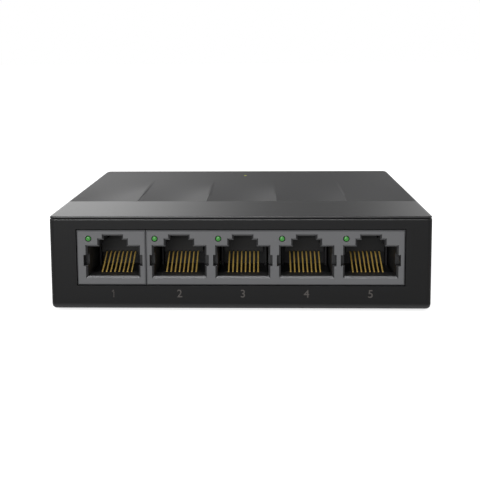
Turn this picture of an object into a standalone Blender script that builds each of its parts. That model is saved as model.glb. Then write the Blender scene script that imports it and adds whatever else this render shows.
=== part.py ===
"""Desktop network switch with five ports, built from its separate pieces.

Metres, +Z up. The ports face -Y and +X is to the right of someone who faces them.
The origin is under the middle of the case, on the surface the rubber feet stand on.
"""
import math

import bmesh
import bpy
from mathutils import Matrix, Vector

MM = 0.001

# Clearances
SEAT_GAP = 0.3 * MM             # between a piece and what carries it
FIT_GAP = 0.25 * MM             # around a piece that slides into its seat
SLOT_GAP = 0.16 * MM            # beside a contact wire in its comb slot
OVERCUT = 0.5 * MM              # how far a cutter runs past the face it opens

# Case
CASE_WIDTH = 90.0 * MM
CASE_DEPTH = 72.0 * MM
CASE_HEIGHT = 22.4 * MM         # from the case floor to the cover, without the feet
WALL = 2.0 * MM
FLOOR = 2.0 * MM
CORNER_RADIUS = 1.2 * MM        # upright edges of the case
BASE_RADIUS = 1.1 * MM          # edge between the walls and the floor
RIM_CHAMFER = 0.25 * MM         # top edge of the walls

# Cover
COVER_THICKNESS = 1.8 * MM
COVER_EDGE = 0.4 * MM           # flange that lies over the walls
PARTING_GAP = 0.2 * MM          # shadow gap between the flange and the walls
COVER_FRONT_CHAMFER = 0.15 * MM
COVER_SIDE_CHAMFER = 0.4 * MM
COVER_EDGE_LAND = 0.05 * MM     # upright face left under the side chamfers
LIP_THICKNESS = 1.2 * MM        # rim under the cover that locates it inside the walls
LIP_HEIGHT = 0.9 * MM
STRIP_DEPTH = 19.3 * MM         # flat strip along the front of the cover
PLEAT_COUNT = 5
PLEAT_DEPTH = 0.45 * MM         # how far a pleat lies below the strip at its left edge
PLEAT_BACK_MARGIN = 14.0 * MM   # flat part of the cover behind the pleats
PLEAT_STEP = 0.1 * MM           # width of the steep step between two pleats
PLEAT_COLUMNS = 6
PLEAT_ROWS = 7

# Feet
FOOT_RADIUS = 4.0 * MM
FOOT_THICKNESS = 1.2 * MM
FOOT_PROUD = 0.6 * MM           # how far the feet stand out of the floor
FOOT_INSET = 7.5 * MM           # foot centre from the outside of the walls

# Case screws and their posts
CASE_SCREW_INSET_X = 15.0 * MM
CASE_SCREW_INSET_Y = 7.0 * MM
SCREW_SHANK_RADIUS = 1.1 * MM
SCREW_HEAD_RADIUS = 2.1 * MM
SCREW_HEAD_HEIGHT = 1.5 * MM
POST_RADIUS = 3.4 * MM
POST_HEIGHT = 9.0 * MM          # above the floor
CASE_SCREW_GRIP = 7.0 * MM      # length of the screw inside the cover's boss

# Keyholes and vents in the floor
KEYHOLE_SPACING = 46.0 * MM
KEYHOLE_HEAD_RADIUS = 3.8 * MM
KEYHOLE_SLOT_RADIUS = 1.9 * MM
KEYHOLE_SLOT_LENGTH = 7.0 * MM
KEYHOLE_Y = 16.0 * MM
VENT_COUNT = 9
VENT_PITCH = 3.6 * MM
VENT_WIDTH = 1.4 * MM
VENT_LENGTH = 18.0 * MM
VENT_Y = -6.0 * MM

# Circuit board
BOARD_THICKNESS = 1.6 * MM
BOARD_LIFT = 1.9 * MM           # space between the floor and the board
BOARD_SIDE_GAP = 1.5 * MM       # between the board and the case walls
BOARD_REAR_GAP = 0.6 * MM
BOARD_SCREW_INSET = 10.0 * MM   # board screw from the outside of the side wall
BOARD_SCREW_Y = 12.0 * MM
BOARD_SCREW_SHANK = 1.0 * MM
BOARD_SCREW_HEAD = 2.0 * MM
BOARD_SCREW_HEAD_HEIGHT = 1.3 * MM
STANDOFF_RADIUS = 2.6 * MM

# Jacks
PORT_PITCH = 15.0 * MM
FIRST_PORT_PITCH = 15.7 * MM    # port 1 stands in a housing of its own
ROW_CENTRE = 8.2 * MM           # middle of ports 2 to 5, from the middle of the case
JACK_DEPTH = 17.75 * MM
JACK_HEIGHT = 13.2 * MM
JACK_FACE_SETBACK = 0.25 * MM   # jacks' face behind the outside of the front wall
HOUSING_GAP = 0.12 * MM         # between the two jack housings
SINGLE_LEFT = 8.55 * MM         # from the middle of port 1 to its housing's left side
GANG_LEFT = 7.8 * MM            # from the middle of port 2 to its housing's left side
GANG_RIGHT = 8.0 * MM           # from the middle of port 5 to its housing's right side
JACK_EDGE_CHAMFER = 0.3 * MM
WINDOW_GAP = 0.1 * MM           # around the jacks in the front wall's window
WINDOW_HEADROOM = 0.3 * MM

# Port cavity, inside its lead-in chamfer; heights are above the jack's underside
LEAD_IN = 0.42 * MM
CAVITY_WIDTH = 12.1 * MM
CAVITY_FLOOR = 2.1 * MM
CAVITY_TOP = 9.3 * MM
STEP_WIDTH = 6.4 * MM
STEP_TOP = 10.9 * MM
LATCH_WIDTH = 4.2 * MM
LATCH_TOP = 11.9 * MM
POCKET_WIDTH = 14.0 * MM
POCKET_LOW = 4.6 * MM
POCKET_HIGH = 7.3 * MM
POCKET_DEPTH = 2.4 * MM
PEG_RADIUS = 0.75 * MM
PEG_LENGTH = 1.9 * MM
PEG_SETBACK = 7.95 * MM

# Contact carriers and contact wires
CARRIER_SETBACK = 4.25 * MM     # front of the carrier's base behind the jack's face
COMB_SETBACK = 10.95 * MM       # front of the comb block behind the jack's face
COMB_WIDTH = 9.6 * MM
COMB_DEPTH = 3.0 * MM
COMB_LOW = 5.35 * MM            # lower edge of the comb block above the jack's underside
CARRIER_BASE_HEIGHT = 1.7 * MM
RIB_WIDTH = 0.45 * MM
RIB_DEPTH = 2.2 * MM
WIRE_COUNT = 8
WIRE_PITCH = 1.02 * MM
WIRE_RADIUS = 0.18 * MM
WIRE_SETBACK = 5.05 * MM        # wire bend behind the jack's face
WIRE_BEND_HEIGHT = 1.75 * MM    # bend's middle above the jack's underside
WIRE_RISE = 3.75 * MM
WIRE_RUN = 6.6 * MM
BAR_RADIUS = 0.42 * MM
BAR_OVERHANG = 0.7 * MM         # bar past the outermost wires
TROUGH_END_GAP = 0.4 * MM       # beside the bar in the carrier's trough
TROUGH_FLOOR = 0.9 * MM         # carrier left under the trough

# Light pipes and their lamps
PIPE_OFFSET = 5.75 * MM         # to the left of the port's middle
PIPE_HEIGHT = 11.2 * MM         # above the jack's underside
PIPE_RADIUS = 0.55 * MM
PIPE_BORE_GAP = 0.2 * MM
PIPE_BEND_RADIUS = 1.2 * MM
PIPE_REACH = 2.2 * MM           # upright leg behind the jack
PIPE_BEND_STEPS = 4
LAMP_SIZE = Vector((1.6, 1.2, 0.7)) * MM
POWER_LAMP_SETBACK = 9.6 * MM   # power lamp from the back of the case
POWER_PIPE_RADIUS = 1.0 * MM
POWER_TIP_RADIUS = 0.45 * MM
POWER_TIP_LENGTH = 1.2 * MM
PIPE_GUIDE_LENGTH = 4.0 * MM    # sleeve under the cover round the power pipe
PIPE_GUIDE_WALL = 1.0 * MM

# Parts on the board
TRANSFORMER_SIZE = Vector((12.6, 9.4, 5.6)) * MM
TRANSFORMER_SETBACK = 4.6 * MM  # behind the jacks
CHIP_SIZE = Vector((14.0, 14.0, 1.5)) * MM
CHIP_X = -6.0 * MM
CHIP_SETBACK = 2.2 * MM         # behind the transformers
CRYSTAL_SIZE = Vector((11.0, 4.6, 3.4)) * MM
REGULATOR_SIZE = Vector((6.5, 3.6, 1.7)) * MM
INDUCTOR_SIZE = Vector((6.0, 6.0, 3.0)) * MM
INPUT_CAPACITOR = (3.2 * MM, 7.6 * MM)      # radius and height
OUTPUT_CAPACITOR = (2.5 * MM, 5.6 * MM)
PART_SPACING = 3.0 * MM         # between two neighbours on the board

# Power inlet, a round jack for a barrel plug
INLET_X = 14.0 * MM
INLET_WIDTH = 9.0 * MM
INLET_HEIGHT = 11.0 * MM
INLET_BODY_DEPTH = 11.2 * MM
INLET_NOSE_RADIUS = 4.5 * MM
INLET_AXIS_HEIGHT = 6.4 * MM    # above the inlet's underside
INLET_FACE_SETBACK = 0.4 * MM
INLET_BORE_RADIUS = 3.2 * MM
INLET_BORE_DEPTH = 9.6 * MM
INLET_PIN_RADIUS = 1.0 * MM
INLET_PIN_SETBACK = 1.6 * MM
LEAF_WIDTH = 2.6 * MM
LEAF_THICKNESS = 0.3 * MM
LEAF_LENGTH = 7.0 * MM
LEAF_RISE = 1.5 * MM            # from the leaf's root up to its tip
LEAF_PROUD = 0.3 * MM           # how far the leaf's tip stands into the bore

# Places that follow from the sizes above
case_bottom = FOOT_PROUD
case_top = case_bottom + CASE_HEIGHT
floor_top = case_bottom + FLOOR
wall_top = case_top - COVER_EDGE - PARTING_GAP
cover_under = case_top - COVER_THICKNESS
front = -CASE_DEPTH / 2
rear = CASE_DEPTH / 2
inner_x = CASE_WIDTH / 2 - WALL
inner_rear = rear - WALL
board_bottom = floor_top + BOARD_LIFT
board_top = board_bottom + BOARD_THICKNESS
part_bottom = board_top + SEAT_GAP
jack_top = part_bottom + JACK_HEIGHT
jack_face = front + JACK_FACE_SETBACK
jack_rear = jack_face + JACK_DEPTH
port_2_x = ROW_CENTRE - 1.5 * PORT_PITCH
PORTS = [port_2_x - FIRST_PORT_PITCH] + [port_2_x + i * PORT_PITCH for i in range(4)]
single_left = PORTS[0] - SINGLE_LEFT
gang_left = PORTS[1] - GANG_LEFT
gang_right = PORTS[4] + GANG_RIGHT
carrier_base_top = part_bottom + CARRIER_BASE_HEIGHT
wire_y = jack_face + WIRE_SETBACK
wire_z = part_bottom + WIRE_BEND_HEIGHT
wire_span = (WIRE_COUNT - 1) * WIRE_PITCH
trough_half = wire_span / 2 + BAR_OVERHANG + TROUGH_END_GAP
pipe_z = part_bottom + PIPE_HEIGHT
pipe_leg_y = jack_rear + PIPE_REACH
lamp_top = part_bottom + LAMP_SIZE.z
power_lamp_y = rear - POWER_LAMP_SETBACK
transformer_y = jack_rear + TRANSFORMER_SETBACK + TRANSFORMER_SIZE.y / 2
chip_y = transformer_y + TRANSFORMER_SIZE.y / 2 + CHIP_SETBACK + CHIP_SIZE.y / 2
case_screw_x = CASE_WIDTH / 2 - CASE_SCREW_INSET_X
case_screw_y = rear - CASE_SCREW_INSET_Y
board_screw_x = CASE_WIDTH / 2 - BOARD_SCREW_INSET
foot_x = CASE_WIDTH / 2 - FOOT_INSET
foot_y = CASE_DEPTH / 2 - FOOT_INSET
inlet_face = rear - INLET_FACE_SETBACK
inlet_body_rear = inner_rear - SEAT_GAP
inlet_body_front = inlet_body_rear - INLET_BODY_DEPTH
inlet_z = part_bottom + INLET_AXIS_HEIGHT
inlet_bore_end = inlet_face - INLET_BORE_DEPTH
leaf_pivot_y = inlet_bore_end + SEAT_GAP
leaf_tip_z = inlet_z - INLET_BORE_RADIUS + LEAF_PROUD
leaf_pivot_z = leaf_tip_z - LEAF_RISE

parts = None
cutters = None


def new_collection(name):
    collection = bpy.data.collections.new(name)
    bpy.context.scene.collection.children.link(collection)
    return collection


def material(name, colour, roughness, metallic=0.0):
    existing = bpy.data.materials.get(name)
    if existing:
        return existing
    made = bpy.data.materials.new(name)
    made.use_nodes = True
    shader = made.node_tree.nodes["Principled BSDF"]
    shader.inputs["Base Color"].default_value = (*colour, 1.0)
    shader.inputs["Roughness"].default_value = roughness
    shader.inputs["Metallic"].default_value = metallic
    return made


def case_plastic():
    return material("case plastic", (0.018, 0.018, 0.019), 0.5)


def cover_plastic():
    return material("cover plastic", (0.06, 0.06, 0.061), 0.42)


def jack_plastic():
    return material("jack plastic", (0.16, 0.165, 0.17), 0.5)


def carrier_plastic():
    return material("carrier plastic", (0.02, 0.022, 0.025), 0.5)


def gold_plate():
    return material("gold plate", (0.75, 0.5, 0.16), 0.25, 1.0)


def steel():
    return material("steel", (0.55, 0.55, 0.56), 0.3, 1.0)


def board_laminate():
    return material("board laminate", (0.02, 0.12, 0.06), 0.45)


def black_resin():
    return material("black resin", (0.02, 0.02, 0.02), 0.5)


def clear_plastic():
    return material("clear plastic", (0.6, 0.8, 0.6), 0.15)


def lamp_resin():
    return material("lamp resin", (0.75, 0.85, 0.5), 0.3)


def foot_rubber():
    return material("foot rubber", (0.03, 0.03, 0.03), 0.8)


def capacitor_sleeve():
    return material("capacitor sleeve", (0.03, 0.04, 0.09), 0.35)


def add_object(name, mesh, surface=None, helper=False, place=(0, 0, 0)):
    """Link a mesh as a part, or as a hidden cutter when it only helps to shape one."""
    made = bpy.data.objects.new(name, mesh)
    made.location = place
    if surface:
        mesh.materials.append(surface)
    if helper:
        made.hide_render = True
        made.display_type = "WIRE"
    (cutters if helper else parts).objects.link(made)
    return made


def mesh_from(name, bm, smooth=False):
    bmesh.ops.recalc_face_normals(bm, faces=bm.faces)
    mesh = bpy.data.meshes.new(name)
    bm.to_mesh(mesh)
    bm.free()
    if smooth:
        mesh.shade_smooth()
        mesh.set_sharp_from_angle(angle=math.radians(40))
    return mesh


def add_cube(bm, low, high):
    """One closed box between two corners, added to bm; returns its vertices."""
    low, high = Vector(low), Vector(high)
    size = high - low
    place = Matrix.Translation((low + high) / 2) @ Matrix.Diagonal((*size, 1.0))
    return bmesh.ops.create_cube(bm, size=1.0, matrix=place)["verts"]


def add_rod(bm, radius, start, end, segments=24, end_radius=None):
    """One closed cylinder or cone between two points, added to bm."""
    start, end = Vector(start), Vector(end)
    turn = Vector((0, 0, 1)).rotation_difference(end - start).to_matrix().to_4x4()
    bmesh.ops.create_cone(
        bm,
        cap_ends=True,
        segments=segments,
        radius1=radius,
        radius2=radius if end_radius is None else end_radius,
        depth=(end - start).length,
        matrix=Matrix.Translation((start + end) / 2) @ turn,
    )


def bevel_edges(bm, chosen, width, segments=1):
    edges = [edge for edge in bm.edges if chosen(*(v.co for v in edge.verts))]
    bmesh.ops.bevel(
        bm, geom=edges, offset=width, segments=segments, profile=0.5, affect="EDGES"
    )


def boxes(name, corners, surface=None, helper=False):
    bm = bmesh.new()
    for low, high in corners:
        add_cube(bm, low, high)
    return add_object(name, mesh_from(name, bm), surface, helper)


def rods(name, lines, radius, surface=None, helper=False, segments=24):
    bm = bmesh.new()
    for start, end in lines:
        add_rod(bm, radius, start, end, segments)
    return add_object(name, mesh_from(name, bm, smooth=True), surface, helper)


def soft_box(name, low, high, width, surface, segments=1):
    """A box with all its edges rounded by a Bevel modifier."""
    made = boxes(name, [(low, high)], surface)
    bevel = made.modifiers.new("rounded edges", "BEVEL")
    bevel.width = width
    bevel.segments = segments
    return made


def standing_box(name, size, x, y, width, surface):
    """A part that stands on the board, with its middle at x, y."""
    low = (x - size.x / 2, y - size.y / 2, part_bottom)
    high = (x + size.x / 2, y + size.y / 2, part_bottom + size.z)
    return soft_box(name, low, high, width, surface)


def combine(target, tool, operation):
    modifier = target.modifiers.new(operation.lower() + " " + tool.name, "BOOLEAN")
    modifier.object = tool
    modifier.operation = operation
    modifier.solver = "EXACT"


def turned(name, profile, place, surface, steps=24, turn=None):
    """A turned piece: profile points (radius, height) run down its outer side."""
    bm = bmesh.new()
    points = [bm.verts.new((radius, 0.0, height)) for radius, height in profile]
    for first, second in zip(points, points[1:]):
        bm.edges.new((first, second))
    mesh = bpy.data.meshes.new(name)
    bm.to_mesh(mesh)
    bm.free()
    made = add_object(name, mesh, surface, place=place)
    if turn:
        made.rotation_euler = turn
    screw = made.modifiers.new("turned", "SCREW")
    screw.axis = "Z"
    screw.angle = math.tau
    screw.steps = steps
    screw.render_steps = steps
    screw.use_merge_vertices = True
    screw.merge_threshold = 0.00001
    screw.use_smooth_shade = True
    return made


def outline_mesh(name, points, low_y, high_y):
    """A flat outline in X and Z, made as a 2D curve and extruded from low_y to high_y."""
    curve = bpy.data.curves.new(name, "CURVE")
    curve.dimensions = "2D"
    curve.fill_mode = "BOTH"
    curve.extrude = (high_y - low_y) / 2
    spline = curve.splines.new("POLY")
    spline.points.add(len(points) - 1)
    for point, (x, z) in zip(spline.points, points):
        point.co = (x, z, 0.0, 1.0)
    spline.use_cyclic_u = True
    flat = bpy.data.objects.new(name, curve)
    bpy.context.scene.collection.objects.link(flat)
    bpy.context.view_layer.update()
    evaluated = flat.evaluated_get(bpy.context.evaluated_depsgraph_get())
    mesh = bpy.data.meshes.new_from_object(evaluated)
    bpy.data.objects.remove(flat)
    bm = bmesh.new()
    bm.from_mesh(mesh)
    bmesh.ops.remove_doubles(bm, verts=bm.verts, dist=0.000001)
    upright = Matrix.Rotation(math.radians(90), 4, "X")
    place = Matrix.Translation((0.0, (low_y + high_y) / 2, 0.0))
    bmesh.ops.transform(bm, matrix=place @ upright, verts=bm.verts)
    return bm


def tube_mesh(name, lines, radius, resolution):
    """Closed tubes along lists of points, as one mesh made from a curve."""
    curve = bpy.data.curves.new(name, "CURVE")
    curve.dimensions = "3D"
    curve.bevel_depth = radius
    curve.bevel_resolution = resolution
    curve.use_fill_caps = True
    for line in lines:
        spline = curve.splines.new("POLY")
        spline.points.add(len(line) - 1)
        for point, place in zip(spline.points, line):
            point.co = (*place, 1.0)
    wire = bpy.data.objects.new(name, curve)
    bpy.context.scene.collection.objects.link(wire)
    bpy.context.view_layer.update()
    evaluated = wire.evaluated_get(bpy.context.evaluated_depsgraph_get())
    mesh = bpy.data.meshes.new_from_object(evaluated)
    bpy.data.objects.remove(wire)
    bm = bmesh.new()
    bm.from_mesh(mesh)
    bmesh.ops.remove_doubles(bm, verts=bm.verts, dist=0.000001)
    return mesh_from(name, bm, smooth=True)


# Case ------------------------------------------------------------------------------


def upright_edge(a, b):
    return abs(a.z - b.z) > 1 * MM


def mirrored(x, y):
    return [(-x, y), (x, y)]


def make_bottom_shell():
    bm = bmesh.new()
    add_cube(
        bm,
        (-CASE_WIDTH / 2, front, case_bottom),
        (CASE_WIDTH / 2, rear, wall_top),
    )
    bevel_edges(bm, upright_edge, CORNER_RADIUS, segments=3)
    base_radius = min(BASE_RADIUS, 0.95 * CORNER_RADIUS)
    bevel_edges(bm, lambda a, b: max(a.z, b.z) < case_bottom + 0.1 * MM, base_radius, 3)
    bevel_edges(bm, lambda a, b: min(a.z, b.z) > wall_top - 0.1 * MM, RIM_CHAMFER)
    shell = add_object("bottom_shell", mesh_from("bottom_shell", bm), case_plastic())

    inside = boxes(
        "case inside",
        [((-inner_x, front + WALL, floor_top), (inner_x, inner_rear, wall_top + OVERCUT))],
        helper=True,
    )
    combine(shell, inside, "DIFFERENCE")
    combine(shell, case_posts(), "UNION")
    combine(shell, board_standoffs(), "UNION")

    for cutter in (
        port_window(),
        inlet_hole(),
        foot_recesses(),
        case_screw_holes(),
        case_screw_counterbores(),
        board_screw_holes(),
        vents(),
        keyhole_heads(),
        keyhole_slots(),
    ):
        combine(shell, cutter, "DIFFERENCE")
    return shell


def case_posts():
    top = floor_top + POST_HEIGHT
    lines = [((x, y, floor_top - FLOOR / 4), (x, y, top)) for x, y in
             mirrored(case_screw_x, case_screw_y)]
    return rods("case posts", lines, POST_RADIUS, helper=True)


def board_standoffs():
    top = board_bottom - SEAT_GAP
    lines = [((x, y, floor_top - FLOOR / 4), (x, y, top)) for x, y in
             mirrored(board_screw_x, BOARD_SCREW_Y)]
    return rods("board standoffs", lines, STANDOFF_RADIUS, helper=True)


def port_window():
    low = (single_left - WINDOW_GAP, front - OVERCUT, part_bottom - WINDOW_GAP)
    high = (gang_right + WINDOW_GAP, front + WALL + OVERCUT, jack_top + WINDOW_HEADROOM)
    return boxes("port window", [(low, high)], helper=True)


def inlet_hole():
    line = ((INLET_X, inner_rear - OVERCUT, inlet_z), (INLET_X, rear + OVERCUT, inlet_z))
    return rods("inlet hole", [line], INLET_NOSE_RADIUS + SEAT_GAP, helper=True, segments=36)


def foot_places():
    return [(x, y) for y in (-foot_y, foot_y) for x in (-foot_x, foot_x)]


def foot_recesses():
    top = FOOT_THICKNESS + SEAT_GAP
    lines = [((x, y, case_bottom - OVERCUT), (x, y, top)) for x, y in foot_places()]
    return rods("foot recesses", lines, FOOT_RADIUS + SEAT_GAP, helper=True)


def case_screw_seat():
    """Height at which the head of a case screw bears on its post."""
    return case_bottom + FLOOR


def case_screw_holes():
    top = floor_top + POST_HEIGHT + OVERCUT
    lines = [((x, y, case_bottom - OVERCUT), (x, y, top)) for x, y in
             mirrored(case_screw_x, case_screw_y)]
    return rods("case screw holes", lines, SCREW_SHANK_RADIUS + SEAT_GAP, helper=True)


def case_screw_counterbores():
    lines = [((x, y, case_bottom - OVERCUT), (x, y, case_screw_seat())) for x, y in
             mirrored(case_screw_x, case_screw_y)]
    return rods("case screw counterbores", lines, SCREW_HEAD_RADIUS + SEAT_GAP, helper=True)


def board_screw_end():
    """Lowest point of a board screw, inside its standoff."""
    return case_bottom + FLOOR / 2


def board_screw_holes():
    lines = [((x, y, board_screw_end() - SEAT_GAP), (x, y, board_bottom)) for x, y in
             mirrored(board_screw_x, BOARD_SCREW_Y)]
    return rods("board screw holes", lines, BOARD_SCREW_SHANK + SEAT_GAP, helper=True)


def vents():
    bm = bmesh.new()
    first = -(VENT_COUNT - 1) / 2 * VENT_PITCH
    for i in range(VENT_COUNT):
        x = first + i * VENT_PITCH
        add_cube(
            bm,
            (x - VENT_WIDTH / 2, VENT_Y - VENT_LENGTH / 2, case_bottom - OVERCUT),
            (x + VENT_WIDTH / 2, VENT_Y + VENT_LENGTH / 2, floor_top + OVERCUT),
        )
    bevel_edges(bm, upright_edge, VENT_WIDTH / 2 - 0.05 * MM, segments=3)
    return add_object("vents", mesh_from("vents", bm), helper=True)


def keyhole_heads():
    lines = [((x, y, case_bottom - OVERCUT), (x, y, floor_top + OVERCUT)) for x, y in
             mirrored(KEYHOLE_SPACING / 2, KEYHOLE_Y)]
    return rods("keyhole heads", lines, KEYHOLE_HEAD_RADIUS, helper=True, segments=28)


def keyhole_slots():
    """The narrow ends of the keyholes, rounded at their tips."""
    bm = bmesh.new()
    for x, y in mirrored(KEYHOLE_SPACING / 2, KEYHOLE_Y):
        add_cube(
            bm,
            (x - KEYHOLE_SLOT_RADIUS, y, case_bottom - OVERCUT),
            (x + KEYHOLE_SLOT_RADIUS, y + KEYHOLE_SLOT_LENGTH, floor_top + OVERCUT),
        )
    tip = KEYHOLE_Y + 1 * MM
    bevel_edges(
        bm,
        lambda a, b: upright_edge(a, b) and min(a.y, b.y) > tip,
        KEYHOLE_SLOT_RADIUS - 0.05 * MM,
        segments=4,
    )
    return add_object("keyhole slots", mesh_from("keyhole slots", bm), helper=True)


# Cover -----------------------------------------------------------------------------


def pleat_columns():
    """(x, pleat, across) for each column of the cover's top, across running 0 to 1."""
    width = CASE_WIDTH / PLEAT_COUNT
    columns = []
    for pleat in range(PLEAT_COUNT):
        left = -CASE_WIDTH / 2 + pleat * width
        low = left + (COVER_SIDE_CHAMFER if pleat == 0 else PLEAT_STEP / 2)
        high = left + width
        high -= COVER_SIDE_CHAMFER if pleat == PLEAT_COUNT - 1 else PLEAT_STEP / 2
        for i in range(PLEAT_COLUMNS + 1):
            across = i / PLEAT_COLUMNS
            columns.append((low + (high - low) * across, pleat, across))
    return columns


def pleat_rows():
    """(y, fade) for each row of the cover's top, fade running 1 to 0 towards the back."""
    crease = front + STRIP_DEPTH
    back = rear - PLEAT_BACK_MARGIN
    rows = [(front + COVER_FRONT_CHAMFER, 0.0), (crease - PLEAT_STEP, 0.0)]
    for i in range(PLEAT_ROWS + 1):
        along = i / PLEAT_ROWS
        rows.append((crease + (back - crease) * along, 0.5 + 0.5 * math.cos(math.pi * along)))
    rows.append((rear - COVER_FRONT_CHAMFER, 0.0))
    return rows


def pleat_dip(pleat, across, fade):
    """Depth of the cover's surface below its flat level."""
    dip = PLEAT_DEPTH * fade * (1.0 - across ** 2)
    if pleat == 0:
        edge = min(across / 0.4, 1.0)
        dip *= edge * edge * (3 - 2 * edge)
    return dip


def make_top_cover():
    columns = pleat_columns()
    rows = pleat_rows()
    bm = bmesh.new()
    bmesh.ops.create_grid(
        bm, x_segments=len(columns) + 1, y_segments=len(rows) + 1, size=0.5
    )
    xs = [-CASE_WIDTH / 2] + [x for x, _, _ in columns] + [CASE_WIDTH / 2]
    ys = [front] + [y for y, _ in rows] + [rear]
    ordered = sorted(bm.verts, key=lambda v: (round(v.co.y, 4), round(v.co.x, 4)))
    for index, vertex in enumerate(ordered):
        row, column = divmod(index, len(xs))
        z = case_top
        if column in (0, len(xs) - 1):
            z -= COVER_EDGE - COVER_EDGE_LAND
        elif row in (0, len(ys) - 1):
            z -= COVER_FRONT_CHAMFER
        else:
            _, pleat, across = columns[column - 1]
            z -= pleat_dip(pleat, across, rows[row - 1][1])
        vertex.co = (xs[column], ys[row], z)
    skirt = bmesh.ops.extrude_face_region(bm, geom=list(bm.faces))
    for item in skirt["geom"]:
        if isinstance(item, bmesh.types.BMVert):
            item.co.z = cover_under
    under = [face for face in bm.faces if all(v.co.z < cover_under + 0.01 * MM for v in face.verts)]
    bmesh.ops.dissolve_faces(bm, faces=under)
    cover = add_object("top_cover", mesh_from("top_cover", bm), cover_plastic())

    combine(cover, cover_outline(), "INTERSECT")
    combine(cover, cover_rebate(), "DIFFERENCE")
    combine(cover, cover_lip(), "UNION")
    combine(cover, cover_bosses(), "UNION")
    combine(cover, power_pipe_guide(), "UNION")
    combine(cover, boss_holes(), "DIFFERENCE")
    combine(cover, power_pipe_bore(), "DIFFERENCE")
    combine(cover, power_tip_hole(), "DIFFERENCE")
    return cover


def cover_outline():
    """A prism with the case's rounded upright edges, which trims the cover's corners."""
    bm = bmesh.new()
    add_cube(
        bm,
        (-CASE_WIDTH / 2, front, cover_under - OVERCUT),
        (CASE_WIDTH / 2, rear, case_top + OVERCUT),
    )
    bevel_edges(bm, upright_edge, CORNER_RADIUS, segments=3)
    return add_object("cover outline", mesh_from("cover outline", bm), helper=True)


def frame_tool(name, outer, inner, low, high):
    """An upright rectangular frame: outer and inner are half sizes in X and Y."""
    bm = bmesh.new()
    add_cube(bm, (-outer[0], -outer[1], low), (outer[0], outer[1], high))
    tool = add_object(name, mesh_from(name, bm), helper=True)
    hole = boxes(
        name + " middle",
        [((-inner[0], -inner[1], low - OVERCUT), (inner[0], inner[1], high + OVERCUT))],
        helper=True,
    )
    combine(tool, hole, "DIFFERENCE")
    return tool


def cover_rebate():
    """Cuts the cover thin over the walls, so that only its flange lies on them."""
    outer = (CASE_WIDTH / 2 + OVERCUT, CASE_DEPTH / 2 + OVERCUT)
    inner = (inner_x - FIT_GAP, CASE_DEPTH / 2 - WALL - FIT_GAP)
    return frame_tool(
        "cover rebate", outer, inner, cover_under - OVERCUT, case_top - COVER_EDGE
    )


def cover_lip():
    outer = (inner_x - FIT_GAP, CASE_DEPTH / 2 - WALL - FIT_GAP)
    inner = (outer[0] - LIP_THICKNESS, outer[1] - LIP_THICKNESS)
    return frame_tool(
        "cover lip", outer, inner, cover_under - LIP_HEIGHT, cover_under + OVERCUT
    )


def boss_low():
    return floor_top + POST_HEIGHT + SEAT_GAP


def cover_bosses():
    lines = [((x, y, boss_low()), (x, y, cover_under + OVERCUT)) for x, y in
             mirrored(case_screw_x, case_screw_y)]
    return rods("cover bosses", lines, POST_RADIUS, helper=True)


def boss_holes():
    top = boss_low() + CASE_SCREW_GRIP + SEAT_GAP
    lines = [((x, y, boss_low() - OVERCUT), (x, y, top)) for x, y in
             mirrored(case_screw_x, case_screw_y)]
    return rods("boss holes", lines, SCREW_SHANK_RADIUS + SEAT_GAP, helper=True)


def power_pipe_shoulder():
    """Height where the power light pipe narrows to its tip."""
    return case_top - POWER_TIP_LENGTH


def power_pipe_guide():
    line = (
        (0, power_lamp_y, cover_under - PIPE_GUIDE_LENGTH),
        (0, power_lamp_y, cover_under + OVERCUT),
    )
    radius = POWER_PIPE_RADIUS + PIPE_BORE_GAP + PIPE_GUIDE_WALL
    return rods("power pipe guide", [line], radius, helper=True)


def power_pipe_bore():
    line = (
        (0, power_lamp_y, cover_under - PIPE_GUIDE_LENGTH - 2 * OVERCUT),
        (0, power_lamp_y, power_pipe_shoulder() + PIPE_BORE_GAP),
    )
    return rods("power pipe bore", [line], POWER_PIPE_RADIUS + PIPE_BORE_GAP, helper=True)


def power_tip_hole():
    line = (
        (0, power_lamp_y, power_pipe_shoulder()),
        (0, power_lamp_y, case_top + OVERCUT),
    )
    return rods("power tip hole", [line], POWER_TIP_RADIUS + 0.1 * MM, helper=True)


# Feet and screws -------------------------------------------------------------------


def make_feet():
    round_edge = 0.3 * MM
    profile = [
        (0.0, FOOT_THICKNESS),
        (FOOT_RADIUS, FOOT_THICKNESS),
        (FOOT_RADIUS, round_edge),
        (FOOT_RADIUS - round_edge, 0.0),
        (0.0, 0.0),
    ]
    names = ["front_left", "front_right", "rear_left", "rear_right"]
    for name, (x, y) in zip(names, foot_places()):
        turned("foot_" + name, profile, (x, y, 0.0), foot_rubber(), steps=20)


def screw_profile(head_radius, head_height, shank_radius, length):
    """Head at the bottom, shank pointing up, heights from the head's seat."""
    point = shank_radius * 0.5
    return [
        (0.0, length),
        (point, length),
        (shank_radius, length - point),
        (shank_radius, 0.0),
        (head_radius, 0.0),
        (head_radius, -head_height * 0.6),
        (head_radius * 0.7, -head_height),
        (0.0, -head_height),
    ]


def make_case_screws():
    seat = case_screw_seat() - SEAT_GAP
    length = boss_low() + CASE_SCREW_GRIP - seat
    profile = screw_profile(
        SCREW_HEAD_RADIUS, SCREW_HEAD_HEIGHT, SCREW_SHANK_RADIUS, length
    )
    for side, (x, y) in zip(("left", "right"), mirrored(case_screw_x, case_screw_y)):
        turned("case_screw_" + side, profile, (x, y, seat), steel(), steps=12)


def make_board_screws():
    seat = board_top + SEAT_GAP
    profile = screw_profile(
        BOARD_SCREW_HEAD, BOARD_SCREW_HEAD_HEIGHT, BOARD_SCREW_SHANK, seat - board_screw_end()
    )
    upside_down = (math.pi, 0.0, 0.0)
    for side, (x, y) in zip(("left", "right"), mirrored(board_screw_x, BOARD_SCREW_Y)):
        turned("board_screw_" + side, profile, (x, y, seat), steel(), 12, upside_down)


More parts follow.
